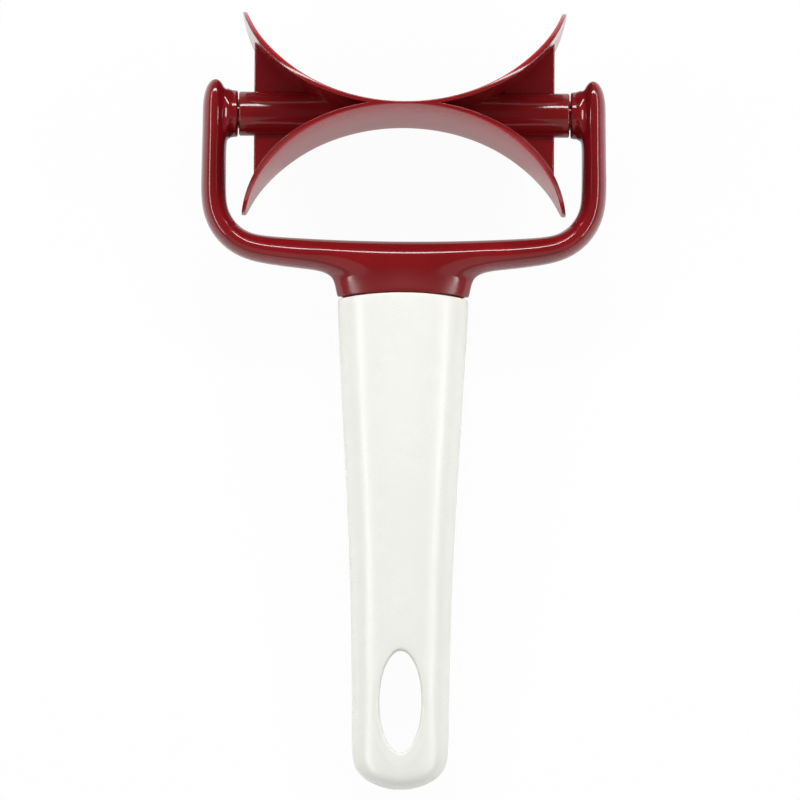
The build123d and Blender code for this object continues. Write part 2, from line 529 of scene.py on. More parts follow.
@dataclass(frozen=True)
class GlossPlastic:
    """Injection-moulded gloss plastic.

    Attributes:
        name: name of the material.
        colour: base colour, linear.
        deep_colour: base colour where the plastic flowed thicker.
        glossiest: least roughness of the moulded skin.
        dullest: most roughness of the moulded skin.
        wear_and_glow: where use has changed it, and for the roller where painted light lightens it.
        peel: depth of the skin's fine ripple, in metres.
        refraction: refractive index.
    """

    name: str
    colour: tuple[float, float, float]
    deep_colour: tuple[float, float, float]
    glossiest: float
    dullest: float
    wear_and_glow: WearAndGlow
    peel: float = 0.004 * MM
    refraction: float = 1.5

    def build(self, effects: PlasticEffects) -> bpy.types.Material:
        """Makes the material with its nodes.

        Args:
            effects: the shared node groups.

        Returns:
            The material.
        """
        material = bpy.data.materials.new(self.name)
        material.use_nodes = True
        sketch = NodeSketch(material.node_tree)
        gloss = {"Glossiest": self.glossiest, "Dullest": self.dullest}
        skin = sketch.add("ShaderNodeGroup", gloss, node_tree=effects.skin)
        # Mask of real wear, and for the roller of the painted light in its troughs.
        wear_and_glow_mask = self.wear_and_glow.mask(sketch, effects)
        fresh = sketch.blend_colours(skin.outputs["Shade"], self.colour, self.deep_colour)
        colour = sketch.blend_colours(wear_and_glow_mask, fresh, self.wear_and_glow.colour)
        roughness = sketch.spread(wear_and_glow_mask, (0.0, 1.0), (skin.outputs["Roughness"], self.wear_and_glow.roughness))
        bump = sketch.add("ShaderNodeBump", {"Height": skin.outputs["Height"], "Distance": self.peel})
        shader = material.node_tree.nodes["Principled BSDF"]
        shader.inputs["IOR"].default_value = self.refraction
        links = {"Base Color": colour, "Roughness": roughness, "Normal": bump.outputs["Normal"]}
        for name, socket in links.items():
            material.node_tree.links.new(socket, shader.inputs[name])
        return material


@dataclass(frozen=True)
class TroughSheet:
    """One face of a cutter's trough-shaped blade: elliptical across, wider towards its two rims.

    Attributes:
        half_width: semi-axis along the axle, halfway between the rims.
        half_height: semi-axis across the axle, halfway between the rims.
        half_width_at_rim: the same at the rims.
        half_height_at_rim: the same at the rims.
    """

    half_width: float
    half_height: float
    half_width_at_rim: float
    half_height_at_rim: float


@dataclass
class CutterRoller:
    """Roller with two trough-shaped cutters back to back, a web between them and a hub through them.

    Attributes:
        roll_radius: radius of the rolling cylinder that the cutting rims lie on.
        trough_centre: height above the axle of the ellipses that the troughs follow.
        dough_side: the face that holds the dough.
        axle_side: the face towards the axle.
        barrel: how the trough widens towards its rims: 1 evenly, more is later.
        tip_thinning: share of the wall's thickness that is lost at the tips.
        thinning_start: share of a blade, from its middle, where that thinning sets in.
        tip_turn: turn round the roll, in degrees, within which a blade's edge counts as its tip.
        tip_start: share of a blade, from its middle, where it begins to bow to the tip's round edge.
        half_columns: columns of faces from the middle of a blade to its tip.
        crotch_columns: those of them along the wall that the two blades share.
        rows: rows of faces from one rim of a blade to the other.
        rim_round: radius of the cutting rims' edges.
        rim_angle: least angle between two faces, in radians, that counts as such an edge.
        rim_steps: faces across the rims' rounding.
        web_half_width: half the web's width along the axle.
        web_thickness: thickness of the web.
        web_columns: columns of faces along the web.
        web_reach: share of the blades' walls that the web reaches into.
        hub_radius: radius of the hub.
        hub_half_length: half the hub's length.
        hub_sides: faces round the hub.
        hub_rows: rows of faces along the hub.
        hub_reach: share of the blades' walls that the hub reaches into.
        socket_radius: radius of the sockets in the hub's ends.
        socket_floor: where the sockets end, from the middle.
        edge_round: radius of the edges of web and hub.
        edge_steps: faces across that rounding.
        turn: how far it stands turned about the axle, in degrees.
    """

    roll_radius: float = 25.45
    trough_centre: float = 32.0
    dough_side: TroughSheet = TroughSheet(40.0, 30.7, 40.7, 31.75)
    axle_side: TroughSheet = TroughSheet(41.4, 33.15, 42.5, 32.75)
    barrel: float = 3.5
    tip_thinning: float = 0.3
    thinning_start: float = 0.6
    tip_turn: float = 25.0
    tip_start: float = 0.55
    half_columns: int = 28
    crotch_columns: int = 4
    rows: int = 22
    rim_round: float = 0.24
    rim_angle: float = 0.7
    rim_steps: int = 4
    web_half_width: float = 37.55
    web_thickness: float = 2.2
    web_columns: int = 48
    web_reach: float = 0.35
    hub_radius: float = 5.55
    hub_half_length: float = 41.3
    hub_sides: int = 72
    hub_rows: int = 48
    hub_reach: float = 0.6
    socket_radius: float = 3.75
    socket_floor: float = 33.6
    edge_round: float = 0.4
    edge_steps: int = 3
    turn: float = -3.9

    def axes(self, sheet: TroughSheet, depth: float) -> tuple[float, float]:
        """Semi-axes of a sheet's ellipse at a distance from the parting plane.

        Args:
            sheet: the face of the blade.
            depth: distance from the parting plane along Z.

        Returns:
            Half width and half height there.
        """
        share = min(abs(depth) / self.roll_radius, 1.0) ** self.barrel
        width = sheet.half_width + share * (sheet.half_width_at_rim - sheet.half_width)
        height = sheet.half_height + share * (sheet.half_height_at_rim - sheet.half_height)
        return width, height

    def height_at(self, sheet: TroughSheet, x: float, depth: float) -> float:
        """Height of a sheet of the upper blade above the axle at a place along it."""
        width, height = self.axes(sheet, depth)
        return self.trough_centre - height * math.sqrt(max(1.0 - (x / width) ** 2, 0.0))

    def sheet_point(self, sheet: TroughSheet, share: float, row: float) -> Vector:
        """Point on the right half of one of the upper blade's faces.

        Args:
            sheet: the face of the blade.
            share: from 0 at the middle, or at the crotch on the axle's side, to 1 at the tip.
            row: from -1 at the back rim to 1 at the front rim.

        Returns:
            The point in the tool's frame.
        """
        tip_height = self.roll_radius * math.cos(math.radians(self.tip_turn))
        from_crotch = sheet is self.axle_side

        def column_height(depth: float) -> float:
            """Height of the column above the axle at a distance from the parting plane."""
            _, height = self.axes(sheet, depth)
            start = math.acos(self.trough_centre / height) if from_crotch else 0.0
            end = math.acos((self.trough_centre - tip_height) / height)
            return self.trough_centre - height * math.cos(start + share * (end - start))

        rim = self.roll_radius
        for _ in range(SETTLING_STEPS):
            rim = math.sqrt(self.roll_radius ** 2 - column_height(rim) ** 2)
        depth = row * rim
        tip_depth = row * self.roll_radius * math.sin(math.radians(self.tip_turn))
        bow = math.sqrt(self.roll_radius ** 2 - tip_depth ** 2) - tip_height
        up = column_height(depth) + blend_share(share, self.tip_start, 1.0) * bow
        width, height = self.axes(sheet, depth)
        x = width * math.sqrt(max(1.0 - ((self.trough_centre - up) / height) ** 2, 0.0))
        return Vector((x, up, depth))

    def crotch_share(self) -> float:
        """Share of a blade, from its middle, along which its wall is shared with the other blade."""
        return self.crotch_columns / self.half_columns

    def blade_point(self, flat: Vector) -> Vector:
        """Place on the upper blade of a point of the flat double grid that it is made from."""
        share = abs(flat.x)
        crotch = self.crotch_share()
        beyond = max(share - crotch, 0.0) / (1.0 - crotch)
        point = self.sheet_point(self.axle_side, beyond, flat.y)
        if flat.z < 0.5:
            dough = self.sheet_point(self.dough_side, share, flat.y)
            thinning = self.tip_thinning * blend_share(share, self.thinning_start, 1.0)
            point = dough.lerp(point, thinning)
        else:
            point.x *= min(share / crotch, 1.0)
        return Vector((math.copysign(point.x, flat.x), point.y, point.z))

    def build_blades(self) -> bpy.types.Object:
        """Models the two blades as one closed body with rounded rims."""
        piece = double_grid(2 * self.half_columns, self.rows)
        with editing(piece):
            pick(piece, Part.FACES, self.is_shared_wall)
            bpy.ops.mesh.delete(type="FACE")
            lay_all(piece, self.blade_point)
        mirror(piece, "Y")
        with editing(piece):
            face_outwards()
            round_edges(piece, self.is_rim, self.rim_round, self.rim_steps)
        return piece

    def is_shared_wall(self, face: bmesh.types.BMFace) -> bool:
        """Tells whether a face of the flat double grid lies inside the wall that the blades share."""
        centre = face.calc_center_median()
        return centre.z > 1.0 - CLOSE and abs(centre.x) < self.crotch_share()

    def is_rim(self, edge: bmesh.types.BMEdge) -> bool:
        """Tells whether an edge runs along one of the cutting rims."""
        return edge.calc_face_angle_signed(0.0) > self.rim_angle

    def inside_wall(self, x: float, depth: float, share: float) -> float:
        """Height within the upper blade's wall, a share of the way from its axle side to its dough side."""
        dough = self.height_at(self.dough_side, x, depth)
        axle = max(self.height_at(self.axle_side, x, depth), 0.0)
        return axle + share * (dough - axle)

    def build_web(self) -> bpy.types.Object:
        """Models the web as a plate that reaches into the blades' walls."""
        piece = double_grid(self.web_columns, rows=2)

        def outline(flat: Vector) -> Vector:
            """Place on the plate of a point of the flat grid that it is made from."""
            x = flat.x * self.web_half_width
            up = flat.y * self.inside_wall(abs(x), 0.0, self.web_reach)
            return Vector((x, up, self.web_thickness * (flat.z - 0.5)))

        with editing(piece):
            lay_all(piece, outline)
            face_outwards()
            round_edges(piece, self.is_web_end, self.edge_round, self.edge_steps)
        return piece

    def is_web_end(self, edge: bmesh.types.BMEdge) -> bool:
        """Tells whether an edge runs along one of the web's two ends."""
        at_end = all(abs(vertex.co.x) > self.web_half_width - CLOSE for vertex in edge.verts)
        on_one_side = abs(edge.verts[0].co.z - edge.verts[1].co.z) < CLOSE
        return at_end and on_one_side

    def build_hub(self) -> bpy.types.Object:
        """Models the hub, kept within the blades' walls."""
        bpy.ops.mesh.primitive_cylinder_add(
            vertices=self.hub_sides,
            radius=self.hub_radius,
            depth=2 * self.hub_half_length,
            rotation=(0.0, math.pi / 2.0, 0.0),
        )
        piece = bpy.context.object
        apply_turn()

        def within_walls(place: Vector) -> Vector:
            """Place of a point of the hub, drawn in where it would break through a blade."""
            most = self.inside_wall(abs(place.x), place.z, self.hub_reach)
            return Vector((place.x, min(max(place.y, -most), most), place.z))

        with editing(piece):
            pick(piece, Part.EDGES, lambda edge: edge.calc_length() > self.hub_half_length)
            bpy.ops.mesh.subdivide(number_cuts=self.hub_rows - 1)
            lay_all(piece, within_walls)
            round_edges(piece, self.is_hub_end, self.edge_round, self.edge_steps)
        return piece

    def is_hub_end(self, edge: bmesh.types.BMEdge) -> bool:
        """Tells whether an edge runs round one of the hub's two ends."""
        return all(abs(vertex.co.x) > self.hub_half_length - CLOSE for vertex in edge.verts)

    def build(self) -> bpy.types.Object:
        """Models the whole roller in the tool's frame, with a socket in each end of its hub."""
        piece = self.build_blades()
        merge_with(piece, self.build_web(), "UNION")
        merge_with(piece, self.build_hub(), "UNION")
        for side in Side:
            bore_on_axle(piece, side, self.socket_radius, self.socket_floor, self.hub_half_length + 1.0)
        select_only(piece)
        piece.rotation_euler.x = math.radians(self.turn)
        apply_turn()
        piece.name = "roller"
        return piece


def signed_power(value: float, power: float) -> float:
    """A power of a value's size, with the value's sign."""
    return math.copysign(abs(value) ** power, value)


@dataclass(frozen=True)
class CrossSection:
    """Section across the yoke's bar, between an oval and a rectangle.

    Attributes:
        inner: its end towards the roller, seen from the tool's flat side.
        outer: its end away from the roller.
        half_depth: half the bar's depth there.
        squareness: exponent of its curve: 2 is an oval, more is squarer.
    """

    inner: Vector
    outer: Vector
    half_depth: float
    squareness: float

    def from_circle(self, place: Vector) -> Vector:
        """Point of the section for a point of the unit circle, whose X runs from inner to outer."""
        out = signed_power(place.x, 2.0 / self.squareness)
        flat = self.inner.lerp(self.outer, (out + 1.0) / 2.0)
        return Vector((flat.x, flat.y, self.half_depth * signed_power(place.y, 2.0 / self.squareness)))

    def to_circle(self, place: Vector) -> Vector:
        """Point of the unit circle for a point of the section."""
        line = self.outer - self.inner
        out = 2.0 * (place.xy - self.inner).dot(line) / line.length_squared - 1.0
        depth = place.z / self.half_depth
        return Vector((signed_power(out, self.squareness / 2.0), signed_power(depth, self.squareness / 2.0)))


@dataclass(frozen=True)
class OvalRing:
    """Oval section of the neck or the handle.

    Attributes:
        along: place along the handle.
        half_width: half its width.
        half_depth: half its depth.
    """

    along: float
    half_width: float
    half_depth: float

    def inset(self, wall: float) -> "OvalRing":
        """The oval drawn in on all sides."""
        return OvalRing(self.along, self.half_width - wall, self.half_depth - wall)


def extrude_ovals(rings: Sequence[OvalRing]) -> None:
    """Carries the picked oval, in edit mode, on from the first of a row of sections to the others.

    Args:
        rings: the sections in order.
    """
    for last, ring in zip(rings, rings[1:]):
        extrude(y=ring.along - last.along)
        bpy.ops.transform.resize(
            value=(ring.half_width / last.half_width, 1.0, ring.half_depth / last.half_depth),
            center_override=(0.0, ring.along, 0.0),
        )


@dataclass
class Yoke:
    """Forked yoke: a bowed crossbar, two arms with a boss each, and the neck that the handle fits on.

    Attributes:
        arm_inner: inner edge of the arms.
        arm_outer: outer edge of the arms at the crossbar.
        arm_splay: how much nearer to the middle the outer edge is at the axle.
        splay_rise: heights above the axle between which the outer edge draws in.
        arm_tip: height of the arms' ends above the axle.
        tip_length: length of the arms' rounded ends.
        tip_lean: how far the ends lean towards the roller.
        tip_depth: share of the arm's depth that is left at its very end.
        half_depth: half the depth of arms and crossbar.
        sides: points round a section of arms and crossbar.
        arm_squareness: exponent of the arms' section.
        bar_squareness: exponent of the crossbar's section.
        bar_top_middle: crossbar's upper edge in the middle.
        bar_top_end: the same in line with the arms.
        bar_bottom_middle: crossbar's lower edge in the middle.
        bar_bottom_end: the same in line with the arms.
        inner_corner: radius between arms and crossbar, towards the roller.
        outer_corner: the same on the outside.
        neck_half_width: half the length of crossbar that the neck grows from.
        neck: the neck's sections from the crossbar to the plug in the handle.
        mouth_arch: radius of the arched line where neck and handle meet.
        boss: radius and distance from the middle of the boss's sections, from the arm to the boss's face.
        boss_patch: share of the arm's depth that a boss grows from.
        bore_radius: radius of the blind bores for the pivots.
        bore_end: where those bores end, from the middle.
        smoothing: levels of subdivision.
        bar_columns: sections along half the crossbar, as distances from the middle.
        corner_turns: sections round a corner, in degrees.
        arm_rows: sections up an arm, as heights above the axle.
    """

    arm_inner: float = 44.4
    arm_outer: float = 50.85
    arm_splay: float = 0.4
    splay_rise: tuple[float, float] = (-25.0, 5.0)
    arm_tip: float = 8.6
    tip_length: float = 5.5
    tip_lean: float = 0.25
    tip_depth: float = 0.4
    half_depth: float = 7.2
    sides: int = 16
    arm_squareness: float = 2.3
    bar_squareness: float = 2.12
    bar_top_middle: float = -31.7
    bar_top_end: float = -29.75
    bar_bottom_middle: float = -40.15
    bar_bottom_end: float = -34.7
    inner_corner: float = 9.5
    outer_corner: float = 16.5
    neck_half_width: float = 21.6
    neck: tuple[OvalRing, ...] = (
        OvalRing(-39.9, 19.1, 7.35),
        OvalRing(-41.2, 17.5, 7.55),
        OvalRing(-42.5, 16.95, 7.75),
        OvalRing(-44.3, 16.6, 8.1),
        OvalRing(-44.6, 16.35, 7.95),
        OvalRing(-44.7, 13.8, 6.6),
        OvalRing(-60.0, 13.2, 6.3),
    )
    mouth_arch: float = 111.0
    boss: tuple[tuple[float, float], ...] = (
        (6.6, 44.1), (6.15, 43.3), (6.02, 42.6), (6.02, 41.85), (5.7, 41.56), (4.6, 41.55),
    )
    boss_patch: float = 0.78
    bore_radius: float = 3.71
    bore_end: float = 48.2
    smoothing: int = 2
    bar_columns: tuple[float, ...] = (0.0, 5.4, 10.8, 16.2, 21.6, 27.0, 32.0)
    corner_turns: tuple[float, ...] = (76.0, 57.0, 38.0, 19.0, 0.0)
    arm_rows: tuple[float, ...] = (-14.5, -7.2, -3.6, 0.0, 3.2, 6.1, 7.4, 8.1, 8.45)

    def bar_edge(self, middle: float, end: float, end_x: float, x: float) -> float:
        """Height of one of the crossbar's bowed edges at a distance from the middle."""
        return middle + (end - middle) * (x / end_x) ** 2

    def bar_section(self, x: float) -> CrossSection:
        """Section across the crossbar at a distance from the middle."""
        top = self.bar_edge(self.bar_top_middle, self.bar_top_end, self.arm_inner, x)
        bottom = self.bar_edge(self.bar_bottom_middle, self.bar_bottom_end, self.arm_outer, x)
        return CrossSection(Vector((x, top)), Vector((x, bottom)), self.half_depth, self.bar_squareness)

    def corner_point(self, side_x: float, middle: float, end: float, radius: float, turn: float) -> Vector:
        """Point on the round corner between an arm's edge and one of the crossbar's edges.

        Args:
            side_x: the arm's edge.
            middle: height of the crossbar's edge in the middle.
            end: height of the crossbar's edge in line with the arm's edge.
            radius: radius of the corner.
            turn: angle round the corner, from 0 at the arm.

        Returns:
            The point, seen from the tool's flat side.
        """
        centre_x = side_x - radius
        touch = centre_x
        for _ in range(SETTLING_STEPS):
            slope = 2.0 * (end - middle) * touch / side_x ** 2
            touch = centre_x + radius * slope / math.hypot(1.0, slope)
        centre_y = self.bar_edge(middle, end, side_x, touch) + radius / math.hypot(1.0, slope)
        return Vector((centre_x + radius * math.cos(turn), centre_y - radius * math.sin(turn)))

    def corner_section(self, turn: float) -> CrossSection:
        """Section across the corner at an angle in degrees, from 0 at the arm."""
        angle = math.radians(turn)
        inner = self.corner_point(
            self.arm_inner, self.bar_top_middle, self.bar_top_end, self.inner_corner, angle)
        outer = self.corner_point(
            self.arm_outer, self.bar_bottom_middle, self.bar_bottom_end, self.outer_corner, angle)
        share = turn / 90.0
        squareness = self.arm_squareness + share * (self.bar_squareness - self.arm_squareness)
        return CrossSection(inner, outer, self.half_depth, squareness)

    def arm_section(self, height: float) -> CrossSection:
        """Section across the arm at a height above the axle."""
        outer = self.arm_outer - self.arm_splay * blend_share(height, *self.splay_rise)
        into_tip = max(height - (self.arm_tip - self.tip_length), 0.0) / self.tip_length
        share = math.sqrt(max(1.0 - into_tip ** 2, 0.0))
        middle = (self.arm_inner + outer) / 2.0 - self.tip_lean * into_tip
        half = share * (outer - self.arm_inner) / 2.0
        depth = self.half_depth * (self.tip_depth + (1.0 - self.tip_depth) * share)
        ends = (Vector((middle - half, height)), Vector((middle + half, height)))
        return CrossSection(*ends, depth, self.arm_squareness)

    def build_fork(self) -> bpy.types.Object:
        """Models crossbar and arms: a section carried along half the fork and mirrored."""
        sections = [
            *map(self.bar_section, self.bar_columns),
            *map(self.corner_section, self.corner_turns),
            *map(self.arm_section, self.arm_rows),
        ]
        bpy.ops.mesh.primitive_circle_add(vertices=self.sides, radius=1.0, fill_type="NOTHING")
        piece = bpy.context.object
        with editing(piece):
            lay_all(piece, sections[0].from_circle)
            for last, section in zip(sections, sections[1:]):
                extrude()
                lay(piece, lambda place: section.from_circle(last.to_circle(place)))
            bpy.ops.mesh.fill_grid(span=self.sides // 4)
        mirror(piece, "X")
        return piece

    def boss_rows(self) -> tuple[float, ...]:
        """Heights of the five sections of an arm that a boss grows across."""
        return self.arm_rows[1:6]

    def boss_place(self, place: Vector) -> Vector:
        """Place on the boss's first section of a point of the patch of arm that it grows from."""
        rows = self.boss_rows()
        row = min(range(len(rows)), key=lambda index: abs(rows[index] - place.y))
        up = (row - 2) / 2.0
        patch_depth = self.arm_section(0.0).from_circle(Vector((1.0, 1.0)).normalized()).z
        out = round(2.0 * place.z / patch_depth) / 2.0
        radius, distance = self.boss[0]
        direction = Vector((math.tan(math.pi / 4.0 * up), math.tan(math.pi / 4.0 * out)))
        direction *= radius * max(abs(up), abs(out)) / max(direction.length, CLOSE)
        return Vector((math.copysign(distance, place.x), direction.x, direction.y))

    def on_boss_patch(self, face: bmesh.types.BMFace, side: Side) -> bool:
        """Tells whether a face lies on the patch of an arm's inner side that a boss grows from."""
        centre = face.calc_center_median()
        faces_in = face.normal.x * side.value < -0.5
        on_arm = centre.x * side.value > self.arm_inner - 1.0
        between_rows = self.boss_rows()[0] < centre.y < self.boss_rows()[-1]
        on_patch = abs(centre.z) < self.boss_patch * self.half_depth
        return faces_in and on_arm and between_rows and on_patch

    def grow_boss(self, piece: bpy.types.Object, side: Side) -> None:
        """Models the boss on one arm's inner side, with a fillet at its foot.

        Args:
            piece: the fork in edit mode.
            side: which arm.
        """
        pick(piece, Part.FACES, lambda face: self.on_boss_patch(face, side))
        extrude()
        lay(piece, self.boss_place)
        for (last_radius, last_x), (radius, x) in zip(self.boss, self.boss[1:]):
            extrude(x=side.value * (x - last_x))
            share = radius / last_radius
            bpy.ops.transform.resize(value=(1.0, share, share), center_override=(side.value * x, 0.0, 0.0))

    def under_bar(self, face: bmesh.types.BMFace) -> bool:
        """Tells whether a face of the crossbar lies where the neck grows from."""
        centre = face.calc_center_median()
        below_middle = self.bar_section(abs(centre.x)).to_circle(centre).x > CLOSE
        return abs(centre.x) < self.neck_half_width and below_middle

    def neck_angle(self, place: Vector) -> float:
        """Angle round the neck's first oval, from the right, for a point of the crossbar's opening."""
        quarter = math.pi / 4.0
        sideways = abs(place.x) / self.neck_half_width
        if sideways < 1.0 - CLOSE:
            angle = math.pi / 2.0 - quarter * sideways
            return math.copysign(angle, place.z)
        circle = self.bar_section(self.neck_half_width).to_circle(Vector((abs(place.x), place.y, place.z)))
        return math.atan2(circle.y, max(circle.x, 0.0)) / 2.0

    def grow_neck(self, piece: bpy.types.Object) -> None:
        """Models the neck out of the crossbar's lower side, down to the plug in the handle.

        Args:
            piece: the fork in edit mode.
        """
        pick(piece, Part.FACES, self.under_bar)
        bpy.ops.mesh.delete(type="FACE")
        pick(piece, Part.EDGES, lambda edge: edge.is_boundary)
        first = self.neck[0]

        def first_ring(place: Vector) -> Vector:
            """Place on the neck's first oval of a point of the crossbar's opening."""
            angle = self.neck_angle(place)
            x = math.copysign(first.half_width * math.cos(angle), place.x)
            return Vector((x, first.along, first.half_depth * math.sin(angle)))

        extrude()
        lay(piece, first_ring)
        extrude_ovals(self.neck)
        bpy.ops.mesh.fill_grid(span=self.sides // 2)
        bow_start = self.neck[2].along + CLOSE
        pick(piece, Part.VERTICES, lambda vertex: vertex.co.y < bow_start)
        bow_down(piece, self.mouth_arch)

    def build(self) -> bpy.types.Object:
        """Models the whole yoke in the tool's frame."""
        piece = self.build_fork()
        with editing(piece):
            face_outwards()
            for side in Side:
                self.grow_boss(piece, side)
            self.grow_neck(piece)
            face_outwards()
        smooth_out(piece, self.smoothing)
        for side in Side:
            bore_on_axle(piece, side, self.bore_radius, 2.0 * self.arm_inner - self.bore_end, self.bore_end)
        piece.name = "yoke_moulding"
        return piece


@dataclass
class HandleSleeve:
    """Hollow oval grip with a lipped mouth, a rounded end and a hanging hole with a soft rim.

    Attributes:
        stations: the grip's sections from the mouth to where its end rounds off.
        columns: columns of faces round the grip.
        swell: how much larger the sections are made, because smoothing draws them in.
        mouth: place of the mouth along the handle, in the middle.
        mouth_arch: radius of the mouth's arched line.
        lip: sections of the mouth's lip, as distance from the mouth and inset, from inside to outside.
        wall: thickness of the wall.
        socket_end: where the socket for the plug ends.
        end_length: length of the rounded end.
        end_turns: where the rounded end's sections lie, in degrees round it.
        end_fullness: exponent of the end's upper profile: 2 is an oval, more is fuller.
        hole_middle: place of the hole along the handle.
        hole_rows: rows of faces from the middle of the hole to its end.
        hole_columns: columns of faces from the middle of the hole to its side.
        hole_row_length: length of such a row.
        hole_rim: the rim's sections from the grip's surface inwards, as half width, half length and drop.
        smoothing: levels of subdivision.
    """

    stations: tuple[OvalRing, ...] = (
        OvalRing(-44.75, 16.45, 9.35),
        OvalRing(-60.0, 15.75, 9.15),
        OvalRing(-75.0, 14.95, 8.95),
        OvalRing(-90.0, 14.05, 8.75),
        OvalRing(-105.0, 13.25, 8.5),
        OvalRing(-120.0, 12.7, 8.25),
        OvalRing(-135.0, 12.3, 7.95),
        OvalRing(-161.2, 12.0, 7.0),
    )
    columns: int = 24
    swell: float = 1.0115
    mouth: float = -44.75
    mouth_arch: float = 86.0
    lip: tuple[tuple[float, float], ...] = (
        (1.6, 2.3), (0.5, 2.2), (0.05, 1.5), (0.0, 0.8), (0.1, 0.3), (0.6, 0.0),
    )
    wall: float = 2.4
    socket_end: float = -62.0
    end_length: float = 7.66
    end_turns: tuple[float, ...] = (25.0, 48.0, 68.0, 82.0)
    end_fullness: float = 3.5
    hole_middle: float = -146.8
    hole_rows: int = 3
    hole_columns: int = 2
    hole_row_length: float = 4.8
    hole_rim: tuple[tuple[float, float, float], ...] = (
        (6.1, 14.1, 0.0), (5.6, 13.45, 0.2), (5.35, 13.1, 0.8), (5.3, 13.05, 2.2),
    )
    smoothing: int = 2

    def section(self, along: float) -> OvalRing:
        """The grip's section at a place along the handle, worked out between its stations."""
        pairs = list(zip(self.stations, self.stations[1:]))
        near, far = next((pair for pair in pairs if along >= pair[1].along), pairs[-1])
        share = (near.along - along) / (near.along - far.along)
        half_width = near.half_width + share * (far.half_width - near.half_width)
        half_depth = near.half_depth + share * (far.half_depth - near.half_depth)
        return OvalRing(along, self.swell * half_width, self.swell * half_depth)

    def rings(self) -> list[OvalRing]:
        """Sections from the socket's floor over the lip and along the grip to the tip of its end."""
        rings = [self.section(self.socket_end).inset(self.wall)]
        rings += [self.section(self.mouth - back).inset(inset) for back, inset in self.lip]
        rings += [self.section(station.along) for station in self.stations[1:-2]]
        reach = self.hole_rows
        rings += [self.section(self.hole_row(row)) for row in range(-reach, reach + 1)]
        last = rings[-1]
        for turn in map(math.radians, self.end_turns):
            along = last.along - self.end_length * math.sin(turn)
            rings.append(OvalRing(along, last.half_width * math.cos(turn), last.half_depth * math.cos(turn)))
        return rings

    def hole_row(self, row: int) -> float:
        """Place along the handle of a row of faces by the hole, counted from its middle towards the end."""
        return self.hole_middle - row * self.hole_row_length

    def end_share(self, place: Vector) -> float:
        """Share of the rounded end's length between its start and a point, below 0 on the grip."""
        return (self.hole_row(self.hole_rows) - place.y) / self.end_length

    def on_upper_end(self, vertex: bmesh.types.BMVert) -> bool:
        """Tells whether a vertex lies on the upper side of the rounded end."""
        return vertex.co.z > 0.0 and self.end_share(vertex.co) > 0.0

    def fuller_end(self, place: Vector) -> Vector:
        """Place on the end's full upper profile of a point of the oval one."""
        share = self.end_share(place)
        oval = math.sqrt(1.0 - share ** 2)
        full = (1.0 - share ** self.end_fullness) ** (1.0 / self.end_fullness)
        return Vector((place.x, place.y, place.z * full / oval))

    def in_hole(self, face: bmesh.types.BMFace) -> bool:
        """Tells whether a face of the grip lies where the hole goes through."""
        centre = face.calc_center_median()
        beside = abs(centre.y - self.hole_middle) < self.hole_rows * self.hole_row_length
        turn = self.turn_from_top(centre)
        return beside and turn < 2.0 * math.pi * self.hole_columns / self.columns

    def turn_from_top(self, place: Vector) -> float:
        """Angle round the grip's section between a point and the middle of its upper or lower side."""
        section = self.section(place.y)
        return math.atan2(abs(place.x) / section.half_width, abs(place.z) / section.half_depth)

    def hole_edge(self, place: Vector) -> Vector:
        """Place on the rim's first section of a point at the edge of the opening in the grip's faces."""
        column = self.turn_from_top(place) * self.columns / (2.0 * math.pi)
        across = math.tan(math.pi / 4.0 * column / self.hole_columns)
        row = (place.y - self.hole_middle) / self.hole_row_length
        along = math.tan(math.pi / 4.0 * row / self.hole_rows)
        half_width, half_length, _ = self.hole_rim[0]
        direction = Vector((math.copysign(across, place.x), along)).normalized()
        x = half_width * direction.x
        y = self.hole_middle + half_length * direction.y
        section = self.section(y)
        height = section.half_depth * math.sqrt(1.0 - (x / section.half_width) ** 2)
        return Vector((x, y, math.copysign(height, place.z)))

    def sink_hole(self, piece: bpy.types.Object) -> None:
        """Models the hole: an opening in both sides with a rounded rim, and the wall between them.

        Args:
            piece: the grip in edit mode.
        """
        pick(piece, Part.FACES, self.in_hole)
        bpy.ops.mesh.delete(type="FACE")
        pick(piece, Part.EDGES, lambda edge: edge.is_boundary)
        lay(piece, self.hole_edge)
        for last, ring in zip(self.hole_rim, self.hole_rim[1:]):
            extrude()
            bpy.ops.transform.resize(
                value=(ring[0] / last[0], ring[1] / last[1], 1.0),
                center_override=(0.0, self.hole_middle, 0.0),
            )
            step = ring[2] - last[2]
            lay(piece, lambda place: place - Vector((0.0, 0.0, math.copysign(step, place.z))))
        bpy.ops.mesh.bridge_edge_loops()

    def build(self) -> bpy.types.Object:
        """Models the whole handle in the tool's frame."""
        rings = self.rings()
        first = rings[0]

        def first_ring(place: Vector) -> Vector:
            """Place on the first section of a point of the unit circle."""
            return Vector((first.half_width * place.x, first.along, first.half_depth * place.z))

        bpy.ops.mesh.primitive_circle_add(
            vertices=self.columns,
            radius=1.0,
            fill_type="NOTHING",
            rotation=(math.pi / 2.0, 0.0, 0.0),
        )
        piece = bpy.context.object
        apply_turn()
        with editing(piece):
            lay_all(piece, first_ring)
            bpy.ops.mesh.fill_grid(span=self.columns // 4)
            pick(piece, Part.EDGES, lambda edge: edge.is_boundary)
            extrude_ovals(rings)
            bpy.ops.mesh.fill_grid(span=self.columns // 4)
            self.sink_hole(piece)
            pick(piece, Part.VERTICES, self.on_upper_end)
            lay(piece, self.fuller_end)
            bow_end = self.stations[1].along + CLOSE
            pick(piece, Part.VERTICES, lambda vertex: vertex.co.y > bow_end)
            bow_down(piece, self.mouth_arch)
            face_outwards()
        smooth_out(piece, self.smoothing)
        piece.name = "grip"
        return piece


